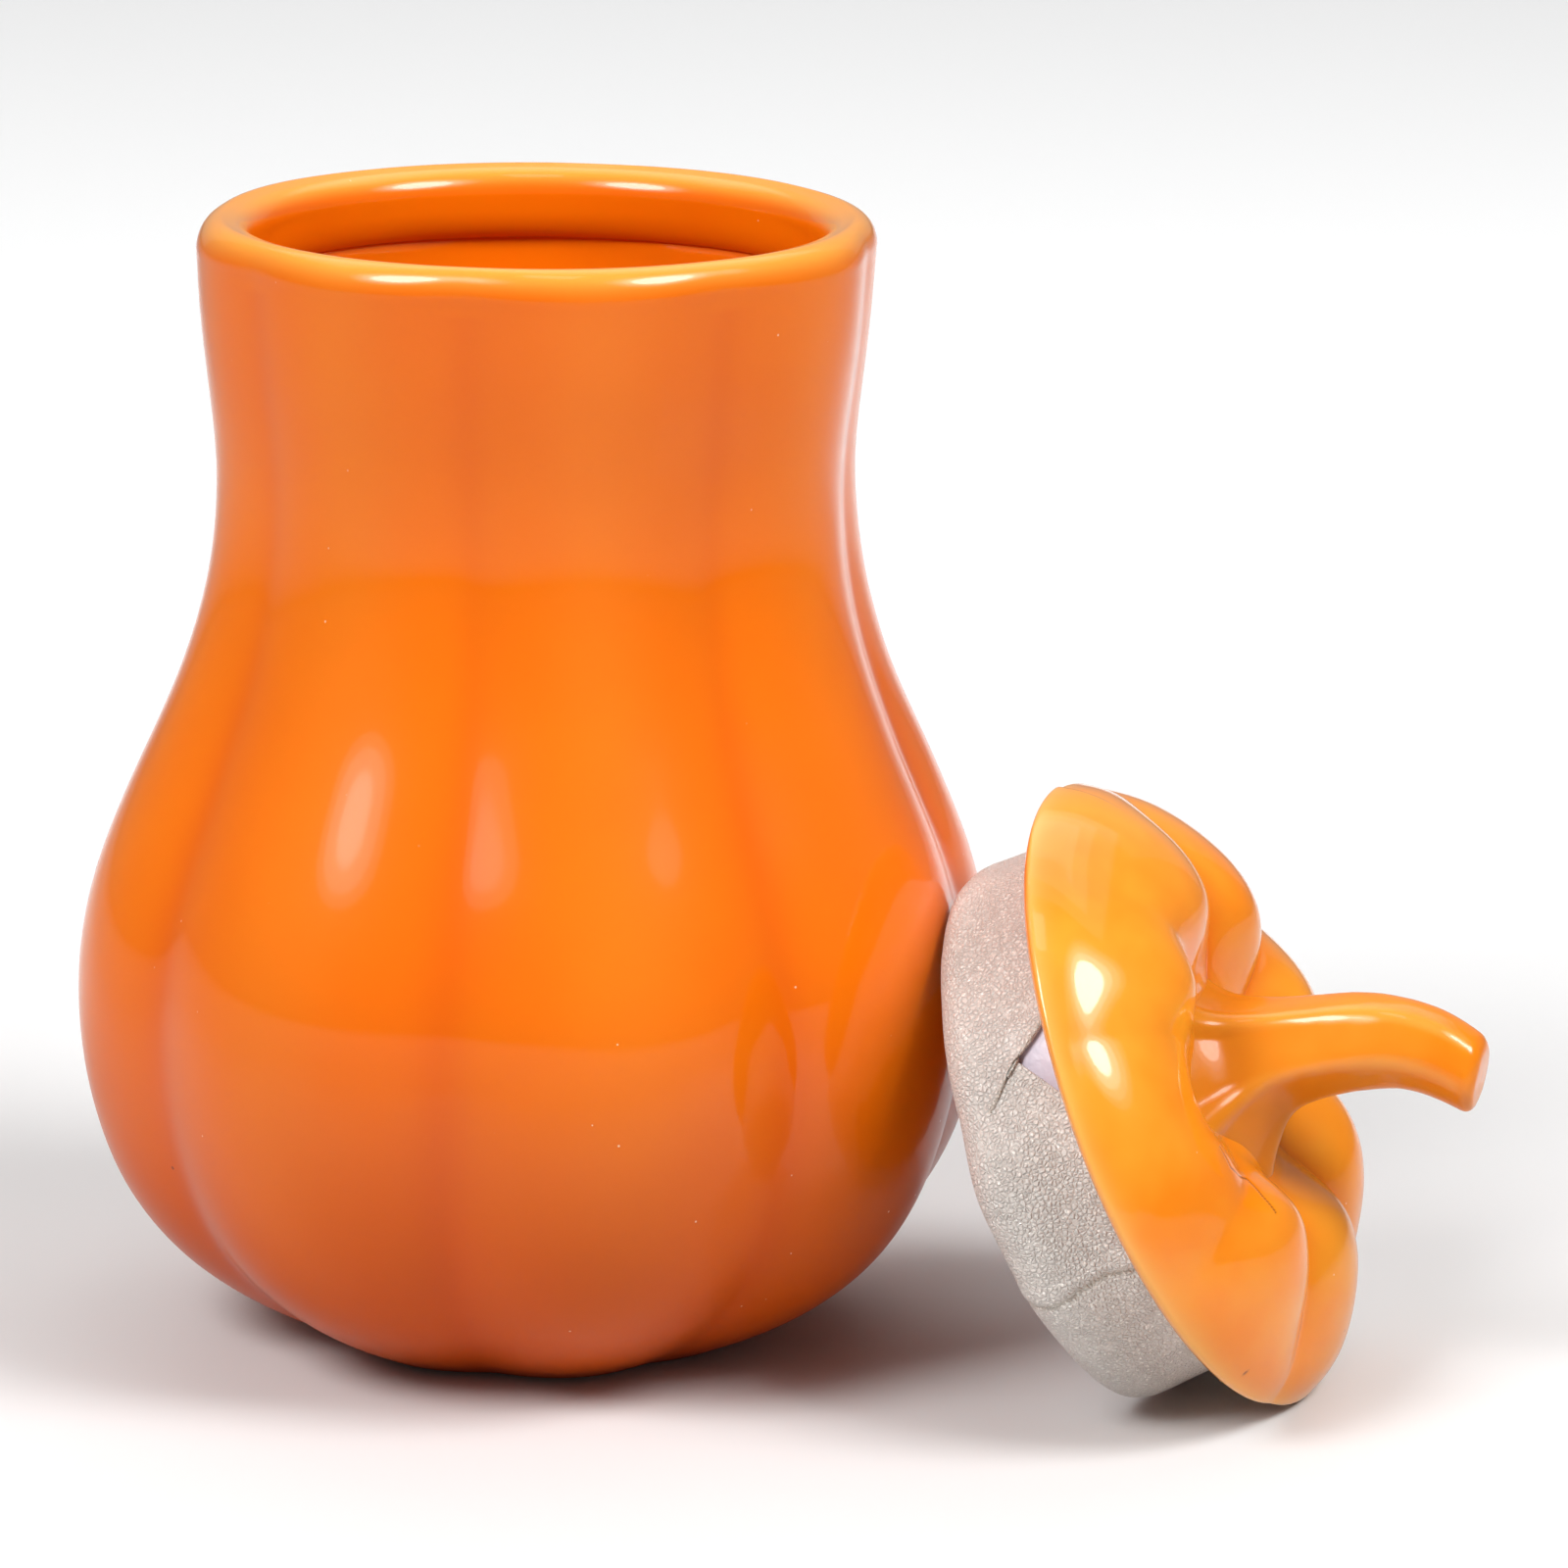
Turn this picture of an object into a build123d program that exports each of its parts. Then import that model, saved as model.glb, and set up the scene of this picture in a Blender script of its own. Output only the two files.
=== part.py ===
"""Glazed ceramic pumpkin jar with its lid off, leaning against the belly.

Millimetres, Z up. The origin is the middle of the jar's foot, on the table.
The lid leans on the jar at +X and -Y and stands on its rim, as it is left beside an open jar.
"""
import os
from math import cos, radians, sin

from build123d import *

# Jar
jar_lobes = 8
jar_height = 112.5
belly_radius = 45.7
belly_height = 34.0
neck_radius = 31.6
neck_height = 88.0
lip_radius = 33.5
foot_radius = 21.0
mouth_radius = 27.8
collar_depth = 6.0
floor_thickness = 5.5
foot_recess_radius = 13.5
foot_recess_depth = 1.0
lip_round = 2.2
jar_groove_angle = -99.8
jar_section_points = 32

# Lid: its own frame has the origin on the rim plane and Z out along the stem
lid_radius = 32.2
lid_crest_radius = 17.4
lid_crest_height = 11.0
lid_dimple_height = 6.0
lid_core_radius = 7.5
groove_centre_radius = 17.0
groove_centre_depth = 11.2
groove_arc_radius = 19.5
groove_round = 3.0
lid_hollow_radius = 18.5
plug_radius = 22.0
plug_depth = 12.2

# Angle of each groove round the lid, and how much shallower than the deepest it is
lid_grooves = [(30, 0.8), (69, 0.8), (114, 0.6), (159, 0), (205, 0), (252, 0.4), (297, 0), (340, 0)]

# Stem
stem_width = 8.6
stem_tip_width = 7.0

# Padded seal around the plug
pad_radius = 25.8
cover_thickness = 0.8
cover_hem_width = 6.0
seal_top_gap = 0.5
pad_corner = 2.4

# How the lid lies: its axis rises from the table and is turned towards the front
lid_origin = (63.2, -18.5, 28.97)
lid_rise = 24.5
lid_turn = -17.1

lid_plane = Plane(
    origin=lid_origin,
    x_dir=(
        -sin(radians(lid_rise)) * cos(radians(lid_turn)),
        -sin(radians(lid_rise)) * sin(radians(lid_turn)),
        cos(radians(lid_rise)),
    ),
    z_dir=(
        cos(radians(lid_rise)) * cos(radians(lid_turn)),
        cos(radians(lid_rise)) * sin(radians(lid_turn)),
        sin(radians(lid_rise)),
    ),
)


lid_axis = Axis(lid_plane.origin, lid_plane.z_dir)


def lid_meridian(angle):
    """Plane through the lid's axis: X runs outward at the angle, Y along the axis."""
    outward = lid_plane.x_dir * cos(radians(angle)) + lid_plane.y_dir * sin(radians(angle))
    return Plane(lid_plane.origin, x_dir=outward, z_dir=outward.cross(lid_plane.z_dir))


def lobe_fullness(angle_from_groove):
    """0 in a groove, 1 on the crest of a lobe."""
    return abs(sin(radians(angle_from_groove) * jar_lobes / 2)) ** 0.8


def jar_section(crest_radius, groove_depth):
    """Points of one lobed cross-section of the jar."""
    points = []
    for index in range(jar_section_points):
        turn = 360 * index / jar_section_points
        radius = crest_radius - groove_depth * (1 - lobe_fullness(turn))
        angle = radians(turn + jar_groove_angle)
        points.append((radius * cos(angle), radius * sin(angle)))
    return points


# Height, crest radius and groove depth of the jar's cross-sections
jar_sections = [
    (0, foot_radius, 3.5),
    (2.3, 26.0, 4.6),
    (6.8, 33.4, 4.8),
    (13.5, 39.8, 4.0),
    (22.5, 43.9, 3.0),
    (belly_height, belly_radius, 2.4),
    (45.0, 44.6, 2.2),
    (56.0, 40.6, 2.0),
    (67.5, 35.5, 1.6),
    (78.5, 32.4, 1.3),
    (neck_height, neck_radius, 1.1),
    (101.0, 32.8, 1.0),
    (jar_height, lip_radius, 1.0),
]

with BuildPart() as jar_body:
    for height, crest_radius, groove_depth in jar_sections:
        with BuildSketch(Plane.XY.offset(height)):
            with BuildLine():
                Spline(*jar_section(crest_radius, groove_depth), periodic=True)
            make_face()
    loft()
    lip_edges = jar_body.edges().group_by(Axis.Z)[-1]
    fillet(lip_edges, lip_round)
    # Inside: the belly, the undercut below the mouth's collar, and the mouth
    with BuildSketch(Plane.XZ):
        with BuildLine():
            undercut_top = jar_height - collar_depth
            Polyline((0, jar_height + 1), (0, floor_thickness), (14, floor_thickness))
            Spline(
                (14, floor_thickness),
                (30.0, 12.5),
                (39.4, belly_height),
                (34.6, 56.0),
                (28.4, neck_height - 4),
                (29.4, undercut_top - 1.6),
                tangents=((1, 0), (0.12, 1)),
            )
            Polyline(
                (29.4, undercut_top - 1.6),
                (mouth_radius, undercut_top),
                (mouth_radius, jar_height + 1),
                (0, jar_height + 1),
            )
        make_face()
    revolve(axis=Axis.Z, mode=Mode.SUBTRACT)
    mouth_edges = jar_body.edges().filter_by(GeomType.CIRCLE).group_by(Axis.Z)[-1]
    fillet(mouth_edges, lip_round)
    # Dry, unglazed recess inside the foot
    with BuildSketch(Plane.XY):
        Circle(foot_recess_radius)
    extrude(amount=foot_recess_depth, mode=Mode.SUBTRACT)
jar_body.part.label = "jar_body"


with BuildPart() as lid_cap:
    with BuildSketch(lid_meridian(0)):
        with BuildLine():
            Polyline((lid_radius, 0.8), (lid_radius - 1.0, 0), (0, 0), (0, lid_dimple_height))
            Spline(
                (0, lid_dimple_height),
                (lid_core_radius, 7.6),
                (lid_crest_radius, lid_crest_height),
                (26.6, 7.6),
                (lid_radius, 0.8),
                tangents=((1, 0), (-0.1, -1)),
            )
        make_face()
    revolve(axis=lid_axis)
    # Grooves between the lobes, deepest beside the stem and fading towards the rim
    for angle, shallower in lid_grooves:
        with Locations(lid_meridian(angle) * Pos(groove_centre_radius, shallower - groove_centre_depth)):
            Torus(groove_arc_radius + groove_round, groove_round, mode=Mode.SUBTRACT)
    # Core under the stem, the plug that carries the seal, and the hollow underside
    with BuildSketch(lid_plane):
        Circle(lid_core_radius)
    extrude(amount=lid_dimple_height)
    with BuildSketch(lid_plane):
        Circle(plug_radius)
    extrude(amount=-plug_depth)
    with BuildSketch(lid_meridian(0)):
        with BuildLine():
            Polyline((0, -plug_depth - 1), (0, 2.2), (4, 2.2))
            Spline((4, 2.2), (12, 3.8), (lid_hollow_radius, -0.5), tangents=((1, 0), (0, -1)))
            Polyline((lid_hollow_radius, -0.5), (lid_hollow_radius, -plug_depth - 1), (0, -plug_depth - 1))
        make_face()
    revolve(axis=lid_axis, mode=Mode.SUBTRACT)
lid_cap.part.label = "lid_cap"

with BuildPart() as lid_stem:
    # The stem leaves along the lid's axis and droops towards the table at its tip
    stem_side = Plane(lid_plane.origin, x_dir=lid_plane.z_dir, z_dir=lid_plane.y_dir)
    with BuildLine(stem_side) as stem_path:
        Spline((5.0, 0.2), (11.0, 0), (20.3, -1.8), (25.4, -4.3), (29.8, -8.5), tangents=((1, 0), (0.72, -0.7)))
    # Width at each part of the way along: a flared foot, and a softly rounded tip
    stem_stations = [
        (0, 17.0),
        (0.06, 14.2),
        (0.16, 11.2),
        (0.36, 9.4),
        (0.7, stem_width),
        (0.96, stem_tip_width),
        (0.985, stem_tip_width - 0.5),
        (1, stem_tip_width - 1.8),
    ]
    for position, width in stem_stations:
        with BuildSketch(Plane(stem_path.line @ position, x_dir=lid_plane.y_dir, z_dir=stem_path.line % position)):
            RectangleRounded(width, width, width * 0.3)
    loft()
    add(lid_cap.part, mode=Mode.SUBTRACT)
lid_stem.part.label = "lid_stem"

with BuildPart() as seal_pad:
    # Closed soft ring glued around the plug
    with BuildSketch(lid_meridian(0)):
        with BuildLine():
            Polyline(
                (pad_radius - pad_corner, -plug_depth),
                (plug_radius, -plug_depth),
                (plug_radius, -seal_top_gap),
                (pad_radius, -seal_top_gap),
                (pad_radius, -plug_depth + pad_corner),
            )
            RadiusArc(
                (pad_radius, -plug_depth + pad_corner),
                (pad_radius - pad_corner, -plug_depth),
                pad_corner,
            )
        make_face()
    revolve(axis=lid_axis)
seal_pad.part.label = "seal_pad"

with BuildPart() as seal_cover:
    # Thin cover over the pad, turned in under the plug's end
    cover_radius = pad_radius + cover_thickness
    cover_corner = pad_corner + cover_thickness
    cover_bottom = -plug_depth - cover_thickness
    hem_radius = pad_radius - cover_hem_width
    with BuildSketch(lid_meridian(0)):
        with BuildLine():
            Polyline(
                (hem_radius, cover_bottom),
                (hem_radius, -plug_depth),
                (pad_radius - pad_corner, -plug_depth),
            )
            RadiusArc(
                (pad_radius - pad_corner, -plug_depth),
                (pad_radius, -plug_depth + pad_corner),
                -pad_corner,
            )
            Polyline(
                (pad_radius, -plug_depth + pad_corner),
                (pad_radius, -seal_top_gap),
                (cover_radius, -seal_top_gap),
                (cover_radius, cover_bottom + cover_corner),
            )
            RadiusArc(
                (cover_radius, cover_bottom + cover_corner),
                (cover_radius - cover_corner, cover_bottom),
                cover_corner,
            )
            Line((cover_radius - cover_corner, cover_bottom), (hem_radius, cover_bottom))
        make_face()
    revolve(axis=lid_axis)
seal_cover.part.label = "seal_cover"

os.makedirs("parts", exist_ok=True)
for piece in (jar_body, lid_cap, lid_stem, seal_pad, seal_cover):
    export_step(piece.part, f"parts/{piece.part.label}.step")
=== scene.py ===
"""Glazed pumpkin jar with its lid leaning on it: the looks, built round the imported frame."""
import math

import bpy
import numpy as np
from mathutils import Matrix, Vector, noise


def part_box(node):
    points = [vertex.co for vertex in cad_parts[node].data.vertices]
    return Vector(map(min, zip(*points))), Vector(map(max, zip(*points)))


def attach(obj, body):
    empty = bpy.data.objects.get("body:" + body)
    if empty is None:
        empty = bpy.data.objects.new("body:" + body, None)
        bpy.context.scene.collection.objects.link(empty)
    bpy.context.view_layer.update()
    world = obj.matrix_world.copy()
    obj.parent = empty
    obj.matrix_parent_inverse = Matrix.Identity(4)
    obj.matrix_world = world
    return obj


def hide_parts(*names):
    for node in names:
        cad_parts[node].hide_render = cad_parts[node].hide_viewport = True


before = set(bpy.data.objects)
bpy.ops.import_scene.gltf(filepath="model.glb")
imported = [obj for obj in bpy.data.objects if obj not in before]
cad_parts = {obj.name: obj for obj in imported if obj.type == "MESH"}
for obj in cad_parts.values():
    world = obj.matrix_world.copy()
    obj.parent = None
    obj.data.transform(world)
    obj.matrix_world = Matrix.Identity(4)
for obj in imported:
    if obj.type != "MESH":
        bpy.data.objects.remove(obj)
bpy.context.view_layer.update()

MM = 0.001
TAU = 2 * math.pi

# The same outline as the CAD, in millimetres
JAR_HEIGHT = 112.5
JAR_GROOVE_ANGLE = math.radians(-99.8)
LOBES = 8
JAR_HEIGHTS = [0, 2.3, 6.8, 13.5, 22.5, 34, 45, 56, 67.5, 78.5, 88, 101, 112.5]
JAR_RADII = [21.0, 26.0, 33.4, 39.8, 43.9, 45.7, 44.6, 40.6, 35.5, 32.4, 31.6, 32.8, 33.5]
JAR_GROOVES = [1.4, 1.9, 2.4, 2.6, 2.5, 2.3, 2.2, 2.0, 1.6, 1.3, 1.1, 0.9, 0.7]
MOUTH_RADIUS = 27.8
LIP_START, LIP_RISE, LIP_REACH = 109.3, 3.2, 2.4
MOUTH_START, MOUTH_RISE, MOUTH_REACH = 109.5, 2.8, 2.6
COLLAR_START, COLLAR_DROP, COLLAR_REACH = 108.2, 3.1, 1.6
JAR_FLOOR = 5.5
GROOVE_SOFTNESS = 0.20

LID_RISE = math.radians(24.5)
LID_TURN = math.radians(-17.1)
PAD_RADIUS = 25.8
PAD_TOP = -0.5
PLUG_RADIUS = 22.0
PLUG_DEPTH = 12.2
HOLLOW_RADIUS = 18.5
COVER_RADIUS = 26.6
COVER_CORNER = 3.2
COVER_BOTTOM = -13.0
COVER_THICKNESS = 0.38

# Points round each ring of the meshes
JAR_TURNS, LID_TURNS, STEM_TURNS, PAD_TURNS = 400, 720, 160, 240


def natural_spline(xs, ys):
    """A smooth curve through the points, as a function of x."""
    xs, ys = np.asarray(xs, float), np.asarray(ys, float)
    n, h = len(xs), np.diff(xs)
    a, b = np.zeros((n, n)), np.zeros(n)
    a[0, 0] = a[-1, -1] = 1
    for i in range(1, n - 1):
        a[i, i - 1], a[i, i], a[i, i + 1] = h[i - 1], 2 * (h[i - 1] + h[i]), h[i]
        b[i] = 6 * ((ys[i + 1] - ys[i]) / h[i] - (ys[i] - ys[i - 1]) / h[i - 1])
    m = np.linalg.solve(a, b)

    def curve(x):
        x = np.clip(x, xs[0], xs[-1])
        i = np.clip(np.searchsorted(xs, x, side="right") - 1, 0, n - 2)
        left, right = x - xs[i], xs[i + 1] - x
        return (
            (m[i] * right**3 + m[i + 1] * left**3) / (6 * h[i])
            + (ys[i] / h[i] - m[i] * h[i] / 6) * right
            + (ys[i + 1] / h[i] - m[i + 1] * h[i] / 6) * left
        )

    return curve


def smoothstep(low, high, x):
    """0 below low, 1 above high, and smooth between."""
    t = np.clip((x - low) / (high - low), 0, 1)
    return t * t * (3 - 2 * t)


def field(points, scale, seed):
    """Smooth noise from -1 to 1 at each point."""
    shift = Vector((seed * 7.31, seed * 3.17, seed * 5.93))
    return np.array([noise.noise(Vector(p) * scale + shift) for p in points])


def grid_mesh(name, rows, wrap=True, masks=None):
    """A mesh through rows of points, each row a closed ring if wrap is set.

    A row of one point closes an end. masks are numbers from 0 to 1 at each point, for the materials.
    """
    verts, start = [], []
    for row in rows:
        start.append(len(verts))
        verts.extend([tuple(float(c) for c in p) for p in row])
    faces = []
    for i in range(len(rows) - 1):
        a, b = rows[i], rows[i + 1]
        n = max(len(a), len(b))
        for j in range(n if wrap else n - 1):
            k = (j + 1) % n
            if len(a) == 1:
                faces.append((start[i], start[i + 1] + j, start[i + 1] + k))
            elif len(b) == 1:
                faces.append((start[i] + j, start[i + 1], start[i] + k))
            else:
                faces.append((start[i] + j, start[i + 1] + j, start[i + 1] + k, start[i] + k))
    mesh = bpy.data.meshes.new(name)
    mesh.from_pydata(verts, [], faces)
    for key, values in (masks or {}).items():
        layer = mesh.attributes.new(key, "FLOAT", "POINT")
        flat = np.concatenate([np.atleast_1d(v) for v in values]).astype(np.float32)
        layer.data.foreach_set("value", flat)
    mesh.validate()
    mesh.polygons.foreach_set("use_smooth", [True] * len(mesh.polygons))
    mesh.update()
    piece = bpy.data.objects.new(name, mesh)
    bpy.context.scene.collection.objects.link(piece)
    return piece


# ---------------------------------------------------------------- the jar
jar_radius = natural_spline(JAR_HEIGHTS, JAR_RADII)
jar_groove = natural_spline(JAR_HEIGHTS, JAR_GROOVES)


def softened(wave, softness):
    """The size of a wave from -1 to 1, with its sharp bottom at 0 rounded off."""
    across = np.sqrt(wave**2 + softness**2) - softness
    return across / (math.sqrt(1 + softness**2) - softness)


def valley(theta):
    """1 along a groove, 0 on the crest between two."""
    return 1 - softened(np.sin(theta * LOBES / 2), GROOVE_SOFTNESS)


FOOT, OUTSIDE, MOUTH, INSIDE = range(4)


def jar_profile():
    """(radius, height, share of the lobes, part) up the outside, over the lip and down inside."""
    quarter = math.pi / 2
    foot = [(0, 1.0, 0), (8, 1.0, 0), (12.9, 1.0, 0), (13.4, 0.75, 0), (13.9, 0.1, 0),
            (14.6, 0.0, 0.2), (16.5, 0.0, 0.4), (18.5, 0.0, 0.75)]
    out = [(radius, z, share, FOOT) for radius, z, share in foot]
    for low, high, count in ((0.12, 2.3, 8), (2.9, 14, 22), (14.8, 109.2, 120)):
        out += [(float(jar_radius(z)), z, 1, OUTSIDE) for z in np.linspace(low, high, count)]
    lip_radius = float(jar_radius(JAR_HEIGHT)) - 0.1
    for a in np.linspace(0, quarter, 16)[1:]:
        radius = lip_radius - LIP_REACH * (1 - math.cos(a))
        out.append((radius, LIP_START + LIP_RISE * math.sin(a), 1 - 0.8 * a / quarter, OUTSIDE))
    out.append((30.7, 112.44, 0.1, OUTSIDE))
    for a in np.linspace(quarter, 0, 14)[1:]:
        radius = MOUTH_RADIUS + MOUTH_REACH * (1 - math.cos(a))
        out.append((radius, MOUTH_START + MOUTH_RISE * math.sin(a), 0.0, MOUTH))
    out.append((MOUTH_RADIUS, 108.8, 0, MOUTH))
    for a in np.linspace(0, quarter, 12):
        radius = MOUTH_RADIUS + COLLAR_REACH * (1 - math.cos(a))
        out.append((radius, COLLAR_START - COLLAR_DROP * math.sin(a), 0, MOUTH))
    wall = natural_spline([JAR_FLOOR, 12.5, 34, 56, 84, 104.9], [16, 30.6, 39.4, 34.6, 28.4, 29.4])
    for z in np.linspace(104.9, 12.5, 90):
        out.append((float(wall(z)), z, 0, INSIDE))
    for a in np.linspace(0, quarter, 10)[1:]:
        out.append((30.6 - 12.6 * (1 - math.cos(a)), 12.5 - 7.0 * math.sin(a), 0, INSIDE))
    out += [(radius, JAR_FLOOR, 0, INSIDE) for radius in (14, 8, 0)]
    return out


def build_jar():
    """The jar's mesh. Its masks: pooled glaze, thin glaze, bare clay and painted shade, darker towards
    the foot.
    """
    turns = np.linspace(0, TAU, JAR_TURNS, endpoint=False)
    rows, pool, thin, bare, painted_shade = [], [], [], [], []
    for radius, z, share, part in jar_profile():
        if radius == 0:
            rows.append([(0, 0, z * MM)])
            for mask in (pool, thin, bare, painted_shade):
                mask.append(np.array([0.0]))
            bare[-1][:] = float(part == FOOT)
            continue
        # The grooves wander a little, and the wall isn't quite even
        wander = 0.010 * np.sin(z / 17.0 + 3 * turns) + 0.006 * np.sin(z / 9.0 + 5 * turns)
        v = valley(turns - JAR_GROOVE_ANGLE + wander)
        depth = float(jar_groove(z)) * share
        r = radius - depth * v
        if part in (OUTSIDE, MOUTH):
            ring = np.stack([radius * np.cos(turns), radius * np.sin(turns), np.full_like(turns, z)], 1)
            r = r + 0.22 * field(ring, 0.035, 1) + 0.07 * field(ring, 0.11, 2)
        rows.append(np.stack([r * np.cos(turns), r * np.sin(turns), np.full_like(turns, z)], 1) * MM)
        pool.append(v**6 * (part == OUTSIDE) * (z < 108) * (1 - 0.5 * smoothstep(55, 85, z)))
        rim = 0.0
        if part == OUTSIDE:
            rim = float(smoothstep(109.4, 112.3, z)) ** 1.5
        elif part == MOUTH:
            rim = float(smoothstep(110.3, 112.0, z))
        crest = 0.12 * (1 - v) ** 4 if part == OUTSIDE else 0
        thin.append(np.clip(rim + crest, 0, 1) * np.ones_like(turns))
        bare.append(np.full_like(turns, float(part == FOOT)))
        # Painted shade: the glaze is darker towards the foot, and its coat duller there
        painted_shade.append(np.full_like(turns, float(1 - smoothstep(2, 52, z)) * (part == OUTSIDE)))
    return grid_mesh("jar", rows, masks={"pool": pool, "thin": thin, "bare": bare, "painted_shade": painted_shade})


jar = build_jar()
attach(jar, "jar")
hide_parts("jar_body")

# ---------------------------------------------------------------- the lid's own frame
lid_axis = Vector((
    math.cos(LID_RISE) * math.cos(LID_TURN),
    math.cos(LID_RISE) * math.sin(LID_TURN),
    math.sin(LID_RISE),
))
lid_up = Vector((
    -math.sin(LID_RISE) * math.cos(LID_TURN),
    -math.sin(LID_RISE) * math.sin(LID_TURN),
    math.cos(LID_RISE),
))
lid_side = lid_axis.cross(lid_up)
# The pad's upper edge is a circle whose furthest points to the right, front and top set its box
pad_low, pad_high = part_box("seal_pad")
lid_origin = Vector((
    pad_high[0] - MM * (PAD_TOP * lid_axis.x + PAD_RADIUS * math.sqrt(1 - lid_axis.x**2)),
    pad_low[1] - MM * (PAD_TOP * lid_axis.y - PAD_RADIUS * math.sqrt(1 - lid_axis.y**2)),
    pad_high[2] - MM * (PAD_TOP * lid_axis.z + PAD_RADIUS * math.sqrt(1 - lid_axis.z**2)),
))
LID = np.array([list(lid_up), list(lid_side), list(lid_axis)])
ORIGIN = np.array(list(lid_origin))


def on_lid(points):
    """Points in the lid's frame, in millimetres, to the row frame in metres."""
    return np.asarray(points, float) @ LID * MM + ORIGIN


# Each groove's angle, and its strength near the rim and near the stem
LID_GROOVES = [(30, 0.12, 0.75), (66, 0.36, 0.35), (114, 0.34, 0.75), (159, 0.9, 1.0),
               (205, 1.0, 1.0), (252, 0.9, 0.9), (297, 1.0, 1.0), (340, 0.85, 1.0)]
marks, RIM_STRENGTH, STEM_STRENGTH = np.array(LID_GROOVES).T
LID_MARKS = np.radians([marks[-1] - 360, *marks, marks[0] + 360])

FRONT_LOBES = math.radians(86)
UPPER_LOBE = math.radians(22)

# Radius and height of the lid's upper surface, on the crest of a lobe and along a groove
LID_CREST = [(31.3, 0.0), (32.2, 0.8), (31.9, 1.9), (30.3, 4.4), (26.8, 7.4), (22.4, 9.9),
             (18.0, 10.95), (14.6, 9.9), (11.6, 7.9), (8.0, 6.7), (0, 6.0)]
LID_VALLEY = [(31.0, 0.0), (31.7, 0.7), (31.3, 1.5), (29.4, 3.5), (26.0, 5.5), (21.8, 7.5),
              (17.6, 8.3), (14.0, 7.8), (11.2, 6.9), (8.0, 6.4), (0, 6.0)]
crest_r, crest_h = (natural_spline(range(len(LID_CREST)), column) for column in zip(*LID_CREST))
valley_r, valley_h = (natural_spline(range(len(LID_VALLEY)), column) for column in zip(*LID_VALLEY))
LID_SOFTNESS = 0.10


def lid_valley(s, theta):
    """1 in a groove and 0 on a crest. s runs from 0 at the rim's foot to 10 in the middle."""
    phase = np.interp(np.mod(theta, TAU), LID_MARKS, np.arange(len(LID_MARKS)) - 1)
    nearest = np.round(phase).astype(int) % len(LID_GROOVES)
    near_stem = smoothstep(4.5, 7.5, s)
    strength = RIM_STRENGTH[nearest] * (1 - near_stem) + STEM_STRENGTH[nearest] * near_stem
    sharp = 0.72 + 0.5 * (1 - RIM_STRENGTH[nearest])
    return (1 - softened(np.sin(math.pi * phase), LID_SOFTNESS) ** sharp) * strength


def lid_surface(s, theta):
    """(radius, height, valley) of the lid's upper surface."""
    v = lid_valley(s, theta)
    r = crest_r(s) + (valley_r(s) - crest_r(s)) * v
    h = crest_h(s) + (valley_h(s) - crest_h(s)) * v
    # The two lobes that face the front are lower and fuller than the rest
    near = np.exp(-(((theta - FRONT_LOBES) / 0.46) ** 2))
    h = h * (1 - 0.23 * near)
    r = r + 2.2 * near * smoothstep(2.5, 5.0, s) * (1 - smoothstep(6.5, 9.5, s))
    return r, h, v


def line_distance(points, line):
    """Distance from each point to a line through a few points."""
    best = np.full(len(points), np.inf)
    for a, b in zip(line[:-1], line[1:]):
        a, b = np.asarray(a, float), np.asarray(b, float)
        t = np.clip((points - a) @ (b - a) / ((b - a) @ (b - a)), 0, 1)
        best = np.minimum(best, np.linalg.norm(points - a - t[:, None] * (b - a), axis=1))
    return best


def polar(line):
    """Points given by radius and angle in degrees, as points across the lid."""
    return [(r * math.cos(math.radians(a)), r * math.sin(math.radians(a))) for r, a in line]


# A hairline crack in the glaze beside the stem, and two small pits
CRACK = polar([(18.7, 99.6), (19.2, 105.7), (18.0, 111), (16.8, 116), (18.2, 121), (19.2, 126)])
PITS = polar([(31.4, 140.5), (25.6, 157)])


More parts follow.
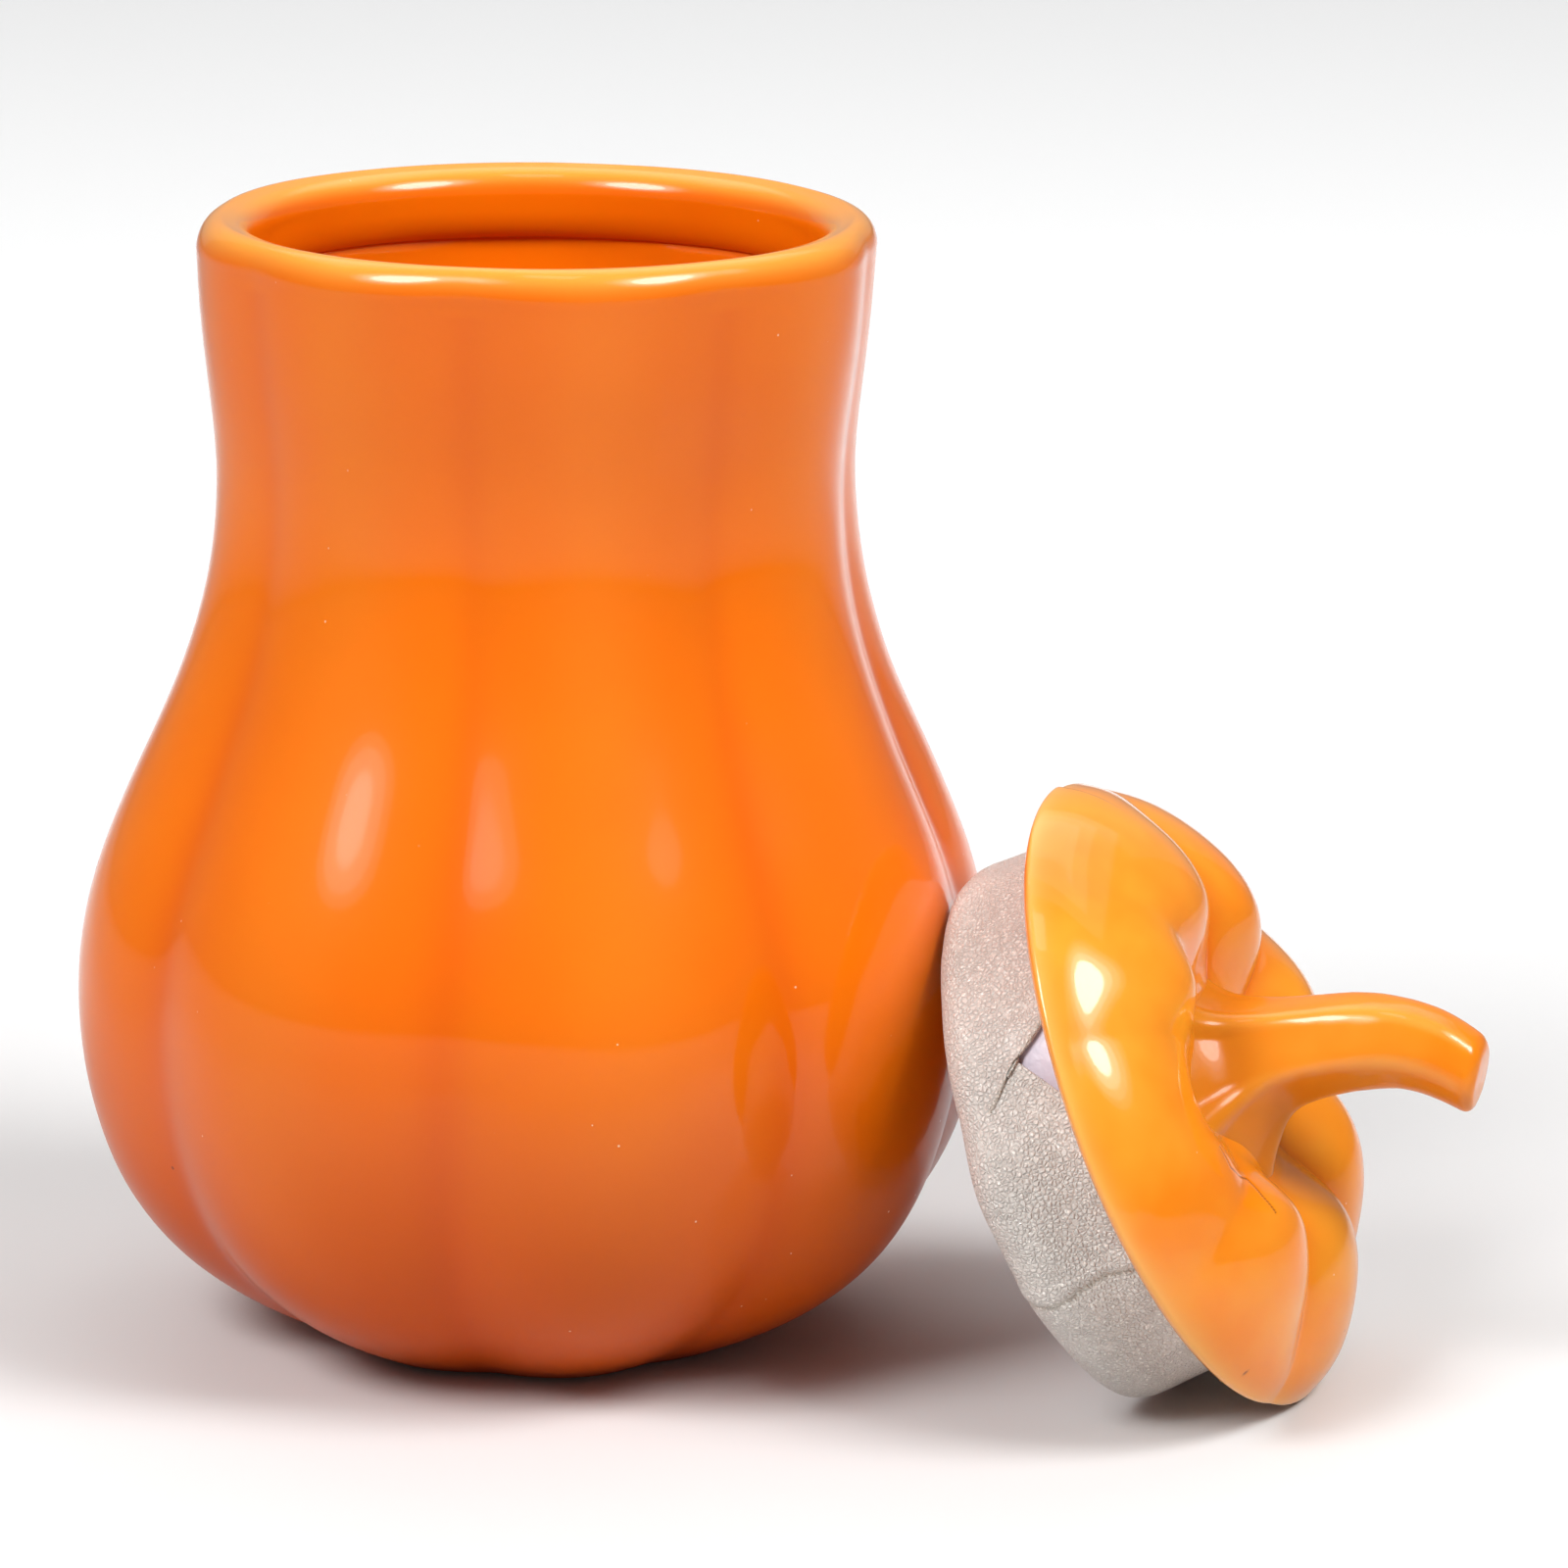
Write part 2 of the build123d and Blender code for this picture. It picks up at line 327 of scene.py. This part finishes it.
def build_lid():
    """The lid's mesh, from the middle of the hollow underneath round to the foot of the stem."""
    turns = np.linspace(0, TAU, LID_TURNS, endpoint=False)
    rows, pool, thin, crack, painted_shade = [], [], [], [], []

    def ring(r, h, pooled=0.0, worn=0.0, cut=0.0, low=0.0):
        r = np.broadcast_to(r, turns.shape)
        h = np.broadcast_to(h, turns.shape)
        rows.append(on_lid(np.stack([r * np.cos(turns), r * np.sin(turns), h], 1)))
        for mask, value in ((pool, pooled), (thin, worn), (crack, cut), (painted_shade, low)):
            mask.append(np.broadcast_to(value, turns.shape) * 1.0)

    def cap(h):
        rows.append(on_lid([(0, 0, h)]))
        for mask in (pool, thin, crack, painted_shade):
            mask.append(np.array([0.0]))

    cap(2.2)
    for r, h in ((4, 2.25), (8, 3.1), (12, 3.8), (15.5, 3.2), (17.7, 1.6), (HOLLOW_RADIUS, -0.5)):
        ring(r, h)
    wall = (PLUG_RADIUS - HOLLOW_RADIUS) / 2
    for h in np.linspace(-2, 0.9 - PLUG_DEPTH, 6):
        ring(HOLLOW_RADIUS, h)
    for a in np.linspace(0, math.pi, 9):
        ring(HOLLOW_RADIUS + wall * (1 - math.cos(a)), 0.8 - PLUG_DEPTH - 0.8 * math.sin(a))
    for r, h in ((22.0, -9), (22.0, -2.0), (22.0, -0.6), (22.6, -0.08), (24, 0), (29, 0), (30.6, 0)):
        ring(r, h)
    # Painted shade: the glaze is a little darker on the low side, which lies in shade, and its coat a
    # little duller there
    shaded_side = 0.45 * smoothstep(1.9, 3.3, turns) * (1 - smoothstep(4.0, 5.2, turns))
    for s in np.concatenate([np.linspace(0, 3, 40), np.linspace(3, 9.8, 150)[1:]]):
        r, h, v = lid_surface(s, turns)
        # The rim reaches a little further out on the upper lobe
        r = r + 0.6 * np.exp(-(((turns - UPPER_LOBE) / 0.5) ** 2)) * float(1 - smoothstep(1.5, 4, s))
        flat = np.stack([r * np.cos(turns), r * np.sin(turns)], 1)
        points = np.column_stack([flat, h])
        bumps = 0.15 * field(points, 0.06, 4) + 0.05 * field(points, 0.17, 5)
        edge = math.exp(-(((s - 1.3) / 0.8) ** 2))
        cut = np.exp(-((line_distance(flat, CRACK) / 0.09) ** 2))
        for pit in PITS:
            cut = np.maximum(cut, np.exp(-((np.linalg.norm(flat - pit, axis=1) / 0.15) ** 2)))
        pooled = v**2.5 * smoothstep(2.5, 6, s)
        ring(r, h + bumps * smoothstep(0.8, 3, s) - 0.12 * cut, pooled, edge, cut, shaded_side)
    cap(6.0)
    return grid_mesh("lid", rows, masks={"pool": pool, "thin": thin, "crack": crack, "painted_shade": painted_shade})


lid = build_lid()
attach(lid, "lid")
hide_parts("lid_cap")

# ---------------------------------------------------------------- the stem
# The stem's middle line: the way along the lid's axis, and how far it rises or droops
STEM_LINE = [(5.0, 0.4), (8.0, 0.5), (11.0, 0.5), (15, 0), (20.0, -1.1), (24.2, -2.9), (27.2, -5.4),
             (29.6, -8.4)]
# Its flat faces round the section, and how sharp the edges between them are, near the foot and beyond
STEM_FACES = np.radians([8, 72, 134, 196, 256, 310])
STEM_FIRM, STEM_SOFT = 11.0, 5.5
STEM_CUT = math.radians(20)
STEM_TIP = 1.3
# Width at each distance from the foot
STEM_WIDTHS = ([0, 1.0, 2.0, 3.2, 4.7, 6.8, 10, 16, 22, 28],
               [25.0, 21.8, 18.6, 15.4, 12.7, 10.6, 9.4, 8.9, 8.2, 7.4])


def build_stem():
    """A section with soft flat faces swept along the droop, its corners widening into toes."""
    n = len(STEM_LINE)
    along_h = natural_spline(range(n), [p[0] for p in STEM_LINE])
    along_s = natural_spline(range(n), [p[1] for p in STEM_LINE])
    fine = np.linspace(0, n - 1, 600)
    length = np.concatenate([[0], np.cumsum(np.hypot(np.diff(along_h(fine)), np.diff(along_s(fine))))])
    total = length[-1]
    width = natural_spline(*STEM_WIDTHS)
    turns = np.linspace(0, TAU, STEM_TURNS, endpoint=False)
    facing = np.maximum(np.cos(turns[:, None] - STEM_FACES), 0)

    def section(rounding):
        return (facing**rounding).sum(1) ** (-1 / rounding)

    ridge = section(STEM_FIRM)
    corner = smoothstep(0.45, 1.0, (ridge - ridge.min()) / np.ptp(ridge))
    rows, pool, thin, crack, painted_shade = [], [], [], [], []
    under = smoothstep(0.1, 0.9, -np.cos(turns))

    def middle(d):
        t = np.interp(d, length, fine)
        h, s = float(along_h(t)), float(along_s(t))
        dh = float(along_h(t + 0.02) - along_h(t - 0.02))
        ds = float(along_s(t + 0.02) - along_s(t - 0.02))
        size = math.hypot(dh, ds)
        return h, s, dh / size, ds / size

    shoulder = total - STEM_TIP
    stations = np.concatenate([np.linspace(0, 8, 60), np.linspace(8, shoulder, 90)[1:]])
    end_angles = np.linspace(0, math.pi / 2, 9)[1:-1]
    rings = [(d, 1.0) for d in stations]
    rings += [(shoulder + STEM_TIP * math.sin(a), 0.66 + 0.34 * math.cos(a)) for a in end_angles]
    rings += [(total - 0.02, 0.45), (total, 0.2)]
    for d, share in rings:
        h, s, dh, ds = middle(min(d, total - 0.05))
        lean = STEM_CUT * float(smoothstep(total - 9, total, d))
        dh, ds = dh * math.cos(lean) - ds * math.sin(lean), ds * math.cos(lean) + dh * math.sin(lean)
        w = float(width(d)) / 2 * share
        flare = math.exp(-((d / 4.6) ** 2))
        firm = float(smoothstep(1.5, 8, d) * (1 - smoothstep(10, 20, d)))
        reach = section(STEM_FIRM * firm + STEM_SOFT * (1 - firm))
        reach = reach * (1 + flare * (0.20 * corner - 0.10))
        x, y = w * reach * np.cos(turns), w * reach * np.sin(turns)
        points = np.stack([s + x * dh, y, h - x * ds], 1)
        bumps = 0.10 * field(points, 0.15, 8) + 0.04 * field(points, 0.45, 9)
        points[:, 0] += bumps * np.cos(turns)
        points[:, 1] += bumps * np.sin(turns)
        rows.append(on_lid(points))
        to_tip = float(1 - smoothstep(total - 2.5, total - 1.0, d))
        thin.append(0.45 * corner * (1 - 0.8 * flare) * to_tip)
        pool.append((1 - corner) * (0.15 + 0.6 * math.exp(-(((d - 3) / 2.5) ** 2))))
        crack.append(np.zeros_like(turns))
        # Painted shade: darker on the underside and at the foot, and a little over the whole stem, with
        # a duller coat there too
        foot = math.exp(-((max(d - 2, 0) / 4.5) ** 2))
        painted_shade.append(np.clip(0.22 + 0.6 * foot + 0.45 * under, 0, 1))
    h, s, dh, ds = middle(total)
    rows.append(on_lid([(s, 0, h)]))
    for mask in (thin, pool, crack, painted_shade):
        mask.append(np.array([0.0]))
    return grid_mesh("stem", rows, masks={"pool": pool, "thin": thin, "crack": crack, "painted_shade": painted_shade})


stem = build_stem()
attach(stem, "lid")
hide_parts("lid_stem")


# ---------------------------------------------------------------- the seal
def build_pad():
    """The closed ring round the plug."""
    turns = np.linspace(0, TAU, PAD_TURNS, endpoint=False)
    side, low, corner = PAD_RADIUS - 0.1, 0.1 - PLUG_DEPTH, 2.4
    section = [(22.2, -0.6), (23.2, PAD_TOP), (side - 0.8, PAD_TOP)]
    for a in np.linspace(0, math.pi / 2, 6)[1:]:
        section.append((side - 0.8 + 0.8 * math.sin(a), PAD_TOP - 0.8 + 0.8 * math.cos(a)))
    section += [(side, h) for h in np.linspace(-2.2, low + corner, 8)]
    for a in np.linspace(0, math.pi / 2, 7)[1:]:
        section.append((side - corner + corner * math.cos(a), low + corner - corner * math.sin(a)))
    section += [(22.2, low), section[0]]
    rows = []
    # Fuller where it shows beside the cover's lap
    beside_lap = np.exp(-(((turns - math.radians(64)) / math.radians(10)) ** 2))
    for r, h in section:
        full = r + 0.4 * beside_lap * float(smoothstep(25, 25.7, r) * smoothstep(-7, -4.5, h))
        level = np.full_like(turns, h)
        rows.append(on_lid(np.stack([full * np.cos(turns), full * np.sin(turns), level], 1)))
    return grid_mesh("pad", rows)


pad = build_pad()
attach(pad, "lid")
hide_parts("seal_pad")

# Where the strip was pressed flat between soft corners, as angles round the lid
FLATS = [-18, 25, 62, 88, 112, 146, 182, 214, 250, 284, 318, 342, 385, 422, 448]
FOLD_ANGLE = 111.5
LAP_RISE = 0.26
FOLD_LIP, FOLD_TUCK = 0.24, 0.26
COVER_AROUND, COVER_ACROSS = 1000, 60
COVER_HEM = 3.6


def build_cover():
    """A strip wrapped once round the pad and lapped on itself, its lower edge turned in."""
    side_length = -COVER_BOTTOM - COVER_CORNER + PAD_TOP
    arc_length = COVER_CORNER * math.pi / 2
    middle = COVER_RADIUS - COVER_THICKNESS / 2
    across = np.linspace(0, side_length + arc_length + COVER_HEM, COVER_ACROSS)
    flats = np.array(FLATS, float)
    rows, lap, fold = [], [], []
    for t in np.linspace(0, 1, COVER_AROUND):
        ring, lap_row, fold_row = [], [], []
        for d in across:
            depth = PAD_TOP - min(d, side_length + arc_length)
            # The strip's two ends are cut on the slant, and cross
            first = max(63.4 + 2.7 * (depth + 4.9), 46)
            last = 360 + 57.9 - 2.1 * (depth + 2.6)
            angle = first + (last - first) * t + 0.5 * math.sin(d * 0.9) * (t > 0.999)
            over = float(smoothstep(388, 418, angle))
            i = int(np.searchsorted(flats, angle)) - 1
            phase = (angle - flats[i]) / (flats[i + 1] - flats[i])
            pressed = 0.30 * math.sin(math.pi * phase) ** 2
            # A fold, with a lip on one side and a tuck on the other
            wave = FOLD_ANGLE + 0.9 * math.sin(depth * 0.55 + 1.2)
            lip = math.exp(-(((angle - wave + 1.6) / 2.0) ** 2))
            tuck = math.exp(-(((angle - wave - 0.7) / 0.8) ** 2))
            # The lap stands up where there is cover under it
            crossed = 0.3 + 0.7 * float(smoothstep(3.0, 5.5, d))
            r = middle - pressed + LAP_RISE * over * crossed + FOLD_LIP * lip - FOLD_TUCK * tuck
            r += 0.16 * crossed * math.exp(-(((last - angle) / 2.0) ** 2))
            # Fuller on the side that faces the front, with a softer bulge at the top
            stuffed = float(smoothstep(62, 90, angle) * (1 - smoothstep(148, 172, angle)))
            r += stuffed * (0.6 + 1.0 * float(smoothstep(3, 9, d)))
            turned = (angle + 90) % 360 - 90
            r += 0.9 * float(smoothstep(-60, -20, turned) * (1 - smoothstep(4, 26, turned)))
            if d < side_length:
                h = PAD_TOP - d
            elif d < side_length + arc_length:
                a = (d - side_length) / COVER_CORNER
                r -= COVER_CORNER * (1 - math.cos(a))
                h = PAD_TOP - side_length - (COVER_CORNER + 0.5 * stuffed) * math.sin(a)
            else:
                r -= COVER_CORNER + (d - side_length - arc_length)
                h = PAD_TOP - side_length - COVER_CORNER - 0.5 * stuffed - 0.4 * over
            turn = math.radians(angle)
            ring.append((r * math.cos(turn), r * math.sin(turn), h))
            lap_row.append(math.exp(-(((last - angle) / 0.9) ** 2)))
            fold_row.append(tuck)
        points = np.array(ring)
        ripple = 0.07 * field(points, 0.22, 12) + 0.03 * field(points, 0.7, 13)
        flat = np.linalg.norm(points[:, :2], axis=1)
        points[:, :2] *= (1 + ripple / flat)[:, None]
        rows.append(on_lid(points))
        lap.append(np.array(lap_row))
        fold.append(np.array(fold_row))
    return grid_mesh("seal_skin", rows, wrap=False, masks={"lap": lap, "fold": fold})


cover = build_cover()
thick = cover.modifiers.new("thickness", "SOLIDIFY")
thick.thickness = COVER_THICKNESS * MM
thick.offset = 0
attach(cover, "lid")
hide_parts("seal_cover")


# ---------------------------------------------------------------- materials
class Nodes:
    """Short calls for building a material's nodes."""

    def __init__(self, name):
        self.material = bpy.data.materials.new(name)
        self.material.use_nodes = True
        self.tree = self.material.node_tree
        self.shader = self.tree.nodes["Principled BSDF"]

    def node(self, kind, inputs=(), **settings):
        n = self.tree.nodes.new(kind)
        for key, value in settings.items():
            setattr(n, key, value)
        for key, value in dict(inputs).items():
            if isinstance(value, bpy.types.NodeSocket):
                self.tree.links.new(value, n.inputs[key])
            else:
                n.inputs[key].default_value = value
        return n

    def set(self, **values):
        for key, value in values.items():
            key = key.replace("_", " ")
            if isinstance(value, bpy.types.NodeSocket):
                self.tree.links.new(value, self.shader.inputs[key])
            else:
                self.shader.inputs[key].default_value = value

    def place(self):
        return self.node("ShaderNodeTexCoord").outputs["Object"]

    def noise(self, scale, detail=3, rough=0.5):
        inputs = {"Vector": self.place(), "Scale": scale, "Detail": detail, "Roughness": rough}
        return self.node("ShaderNodeTexNoise", inputs).outputs["Fac"]

    def ramp(self, value, low, high, start=0.0, end=1.0):
        inputs = {"Value": value, "From Min": low, "From Max": high, "To Min": start, "To Max": end}
        return self.node("ShaderNodeMapRange", inputs).outputs["Result"]

    def mix(self, factor, a, b, blend="MIX"):
        n = self.node("ShaderNodeMix", data_type="RGBA", blend_type=blend)
        for socket, value in ((n.inputs[0], factor), (n.inputs[6], a), (n.inputs[7], b)):
            if isinstance(value, bpy.types.NodeSocket):
                self.tree.links.new(value, socket)
            else:
                socket.default_value = value
        return n.outputs[2]

    def dots(self, scale, size, share):
        """Small round specks, in a share of the cells. Their size is a part of a cell."""
        cell = self.node("ShaderNodeTexVoronoi", {"Vector": self.place(), "Scale": scale})
        near = self.ramp(cell.outputs["Distance"], size * 0.7, size, 1.0, 0.0)
        pick = self.node("ShaderNodeSeparateColor", {"Color": cell.outputs["Color"]}).outputs[0]
        return self.math("MULTIPLY", near, self.math("GREATER_THAN", pick, 1 - share))

    def math(self, operation, a, b=0.5):
        return self.node("ShaderNodeMath", {0: a, 1: b}, operation=operation).outputs[0]

    def mask(self, name):
        return self.node("ShaderNodeAttribute", attribute_name=name).outputs["Fac"]

    def bump(self, height, distance, strength=1.0, normal=None):
        inputs = {"Height": height, "Distance": distance, "Strength": strength}
        if normal is not None:
            inputs["Normal"] = normal
        return self.node("ShaderNodeBump", inputs).outputs["Normal"]


def srgb(r, g, b):
    """An 8-bit screen colour as the linear colour that a shader takes."""
    def one(c):
        c /= 255
        return c / 12.92 if c <= 0.04045 else ((c + 0.055) / 1.055) ** 2.4
    return (one(r), one(g), one(b), 1.0)


def dim(colour, share):
    """The colour giving back only a share of its light."""
    return tuple(c * share for c in colour[:3]) + (1.0,)


# How much of its screen colour the glaze gives back, set together with the lamps
GLAZE_SHARE = 0.86
GLAZE_ROUGHNESS = 0.32


def glaze(name, body, deep, pale, blotch, low, blotch_scale, pooling, coat):
    """Thick glossy glaze: cloudy colour, darker where it pools and paler where it is thin on an edge.

    low is the colour of the painted shade, where the coat is duller too, and blotch the colour of the
    clouds.
    """
    m = Nodes(name)
    body, deep, pale, blotch, low = (dim(c, GLAZE_SHARE) for c in (body, deep, pale, blotch, low))
    cloudy = m.ramp(m.noise(blotch_scale, 3, 0.55), 0.38, 0.68)
    colour = m.mix(cloudy, body, blotch)
    colour = m.mix(m.math("MULTIPLY", m.mask("pool"), pooling), colour, deep)
    colour = m.mix(m.math("MULTIPLY", m.mask("thin"), 0.7), colour, pale)
    # Painted shade, darker towards the bottom and on the shaded side
    colour = m.mix(m.math("MULTIPLY", m.mask("painted_shade"), 0.8), colour, low)
    colour = m.mix(m.math("MULTIPLY", m.dots(150, 0.035, 0.25), 0.7), colour, srgb(90, 34, 6))
    patchy = m.ramp(m.noise(26, 2), 0.46, 0.6)
    pale_specks = m.math("MULTIPLY", m.dots(420, 0.055, 0.24), patchy)
    colour = m.mix(m.math("MULTIPLY", pale_specks, 0.75), colour, srgb(255, 226, 190))
    colour = m.mix(m.mask("crack"), colour, srgb(96, 40, 8))
    normal = m.bump(m.noise(70, 2, 0.5), 0.0004, 0.22)
    normal = m.bump(pale_specks, -0.00005, 0.7, normal)
    m.set(Base_Color=colour, Roughness=GLAZE_ROUGHNESS, Specular_IOR_Level=0.05, Coat_Roughness=0.07)
    # The coat is duller where the shade is painted
    m.set(Coat_Weight=m.ramp(m.mask("painted_shade"), 0, 1, coat, 0.22 * coat))
    m.set(Normal=normal, Subsurface_Weight=0.08, Subsurface_Scale=0.002)
    m.shader.inputs["Subsurface Radius"].default_value = (1.0, 0.35, 0.1)
    return m


# low is the colour of the painted shade towards the foot
jar_glaze = glaze(
    "jar_glaze_look", body=srgb(246, 113, 3), deep=srgb(226, 82, 2), pale=srgb(252, 176, 70),
    blotch=srgb(250, 121, 4), low=srgb(190, 66, 3), blotch_scale=24, pooling=0.36, coat=0.8,
)
# The foot's recess is bare clay
bare = jar_glaze.mask("bare")
glazed = jar_glaze.shader.inputs["Base Color"].links[0].from_socket
jar_glaze.set(Base_Color=jar_glaze.mix(bare, glazed, srgb(226, 205, 184)))
glossy = jar_glaze.shader.inputs["Coat Weight"].links[0].from_socket
jar_glaze.set(Coat_Weight=jar_glaze.math("MULTIPLY", glossy, jar_glaze.ramp(bare, 0, 1, 1.0, 0.0)))
jar_glaze.set(Roughness=jar_glaze.ramp(bare, 0, 1, GLAZE_ROUGHNESS, 0.8))
# low is the colour of the painted shade on the lid's low side and on the stem's underside and foot
lid_glaze = glaze(
    "lid_glaze_look", body=srgb(250, 136, 12), deep=srgb(230, 92, 6), pale=srgb(252, 186, 96),
    blotch=srgb(252, 160, 40), low=srgb(212, 128, 26), blotch_scale=60, pooling=0.55, coat=1.0,
)

foam = Nodes("pad_look")
foam.set(Base_Color=srgb(206, 198, 212), Roughness=0.3, Coat_Weight=0.5, Coat_Roughness=0.12)
foam.set(Normal=foam.bump(foam.noise(900, 2), 0.0003, 0.3))

pearl = Nodes("pearl_look")
clouds = pearl.ramp(pearl.noise(70, 4, 0.6), 0.35, 0.65)
skin = pearl.mix(clouds, srgb(206, 199, 192), srgb(226, 219, 212))
pebbles = {"Vector": pearl.place(), "Scale": 2100.0}
grain = pearl.node("ShaderNodeTexVoronoi", pebbles, feature="DISTANCE_TO_EDGE")
cells = pearl.node("ShaderNodeTexVoronoi", {"Vector": pearl.place(), "Scale": 5200.0})
chance = pearl.node("ShaderNodeSeparateColor", {"Color": cells.outputs["Color"]}).outputs[0]
glitter = pearl.ramp(chance, 0.90, 0.94)
# Painted shadow lines, yellow-brown, along the lap's edge and in the fold's tuck
seams = pearl.math("MAXIMUM", pearl.mask("lap"), pearl.mask("fold"))
skin = pearl.mix(pearl.math("MULTIPLY", seams, 0.3), skin, srgb(176, 160, 124))
threads = pearl.ramp(grain.outputs["Distance"], 0.0, 0.22, 0.2, 0.0)
skin = pearl.mix(threads, skin, srgb(168, 158, 150))
skin = pearl.mix(pearl.math("MULTIPLY", glitter, 0.85), skin, srgb(255, 250, 242))
pearl.set(Base_Color=skin, Roughness=pearl.ramp(glitter, 0, 1, 0.46, 0.15), Sheen_Weight=0.1)
pearl.set(Coat_Weight=0.25, Coat_Roughness=0.25)
normal = pearl.bump(pearl.ramp(grain.outputs["Distance"], 0.0, 0.3), 0.0002, 0.9)
pearl.set(Normal=pearl.bump(pearl.noise(420, 3, 0.6), 0.0003, 0.35, normal))

for piece, look in ((jar, jar_glaze), (lid, lid_glaze), (stem, lid_glaze), (pad, foam), (cover, pearl)):
    piece.data.materials.append(look.material)

# ---------------------------------------------------------------- floor, light and camera
FLOOR = 3.0
corners = [(-FLOOR, -FLOOR, 0), (FLOOR, -FLOOR, 0), (FLOOR, FLOOR, 0), (-FLOOR, FLOOR, 0)]
floor_mesh = bpy.data.meshes.new("floor")
floor_mesh.from_pydata(corners, [], [(0, 1, 2, 3)])
floor = bpy.data.objects.new("floor", floor_mesh)
floor.location.z = -0.0002
bpy.context.scene.collection.objects.link(floor)
# Pale paper, painted lighter further back so that it looks evenly white, and painted shade in front and
# beside so that the glaze doesn't mirror it
PAPER_NEAR, PAPER_FAR, PAPER_SHADE = 0.67, 0.95, 0.38
paper = Nodes("paper")
spot = paper.node("ShaderNodeSeparateXYZ", {"Vector": paper.place()}).outputs
beside = paper.math("ABSOLUTE", paper.math("SUBTRACT", spot["X"], 0.025))
beside = paper.math("SUBTRACT", beside, paper.math("MULTIPLY", spot["Y"], 0.12))
in_front = paper.math("MULTIPLY", paper.math("SUBTRACT", -0.08, spot["Y"]), 2.0)
paper_edge = paper.math("MAXIMUM", paper.math("SUBTRACT", beside, 0.088), in_front)
shade = paper.ramp(paper_edge, 0.0, 0.16)
deep = paper.ramp(spot["Y"], 0.05, 0.6)
pale = paper.mix(deep, (PAPER_NEAR,) * 3 + (1,), (PAPER_FAR,) * 3 + (1,))
paper.set(Base_Color=paper.mix(shade, pale, (PAPER_SHADE,) * 3 + (1,)))
paper.set(Roughness=0.9, Specular_IOR_Level=0.2)
floor_mesh.materials.append(paper.material)

world = bpy.data.worlds.new("studio")
world.use_nodes = True
world.node_tree.nodes["Background"].inputs["Color"].default_value = (1, 1, 1, 1)
world.node_tree.nodes["Background"].inputs["Strength"].default_value = 0.16
bpy.context.scene.world = world


def lamp(name, place, target, size, radiance, shape="RECTANGLE"):
    """An area lamp, with its brightness given instead of its power."""
    data = bpy.data.lights.new(name, "AREA")
    data.shape = shape
    data.size, data.size_y = size
    data.energy = radiance * math.pi * size[0] * size[1] * (math.pi / 4 if shape == "ELLIPSE" else 1)
    lamp_object = bpy.data.objects.new(name, data)
    lamp_object.location = place
    lamp_object.rotation_euler = (Vector(target) - Vector(place)).to_track_quat("-Z", "Y").to_euler()
    bpy.context.scene.collection.objects.link(lamp_object)


# Two round lamps in front, given by azimuth and elevation, each built of discs that fade outwards.
# Each smaller disc stands a little in front of the last, so that a reflection shows it.
FOCUS = Vector((0, 0, 0.06))
LAMP_DISTANCE = 1.25
LAMP_GAP = 0.012
LAMP_STEPS = [(0.88, 0.9), (0.76, 1.5), (0.62, 3.0), (0.46, 13.0)]
for name, azimuth, elevation in (("left", -45, 43), ("right", 60, 47)):
    level, rise = math.radians(azimuth), math.radians(elevation)
    ahead = math.cos(rise)
    outward = Vector((math.sin(level) * ahead, -math.cos(level) * ahead, math.sin(rise)))
    for step, (size, radiance) in enumerate(LAMP_STEPS):
        place = FOCUS + outward * (LAMP_DISTANCE - LAMP_GAP * step)
        lamp(f"{name}_{step}", place, FOCUS, (size, size), radiance, "ELLIPSE")
# Three panels over the paper behind, and two weak ones above and at the back
for step, (size, radiance) in enumerate((((2.2, 1.5), 0.48), ((1.8, 1.1), 0.48), ((1.4, 0.7), 0.5))):
    lamp(f"behind_{step}", (0, 0.9, 1.4 - LAMP_GAP * step), (0, 0.8, 0), size, radiance)
lamp("overhead", (0.014, -0.18, 1.25), (0.03, 0, 0), (0.26, 0.32), 1.8)
lamp("back", (0, 1.6, 0.75), (0, 0, 0.1), (2.6, 1.4), 0.15)

# The camera stands in front and looks a little down
CAMERA_FOCUS = Vector((0.02458, 0, 0.05539))
CAMERA_DISTANCE = 0.75843
CAMERA_ELEVATION = 0.24245
CAMERA_ROLL = 0.00999
data = bpy.data.cameras.new("camera")
data.sensor_width = 36
data.lens = 175.18
data.clip_start, data.clip_end = 0.01, 20
camera = bpy.data.objects.new("camera", data)
back = Vector((0, -math.cos(CAMERA_ELEVATION), math.sin(CAMERA_ELEVATION)))
turn = back.to_track_quat("Z", "Y").to_matrix().to_4x4()
stand = Matrix.Translation(CAMERA_FOCUS + back * CAMERA_DISTANCE)
camera.matrix_world = stand @ turn @ Matrix.Rotation(CAMERA_ROLL, 4, "Z")
bpy.context.scene.collection.objects.link(camera)
bpy.context.scene.camera = camera
bpy.context.scene.view_settings.view_transform = "Standard"
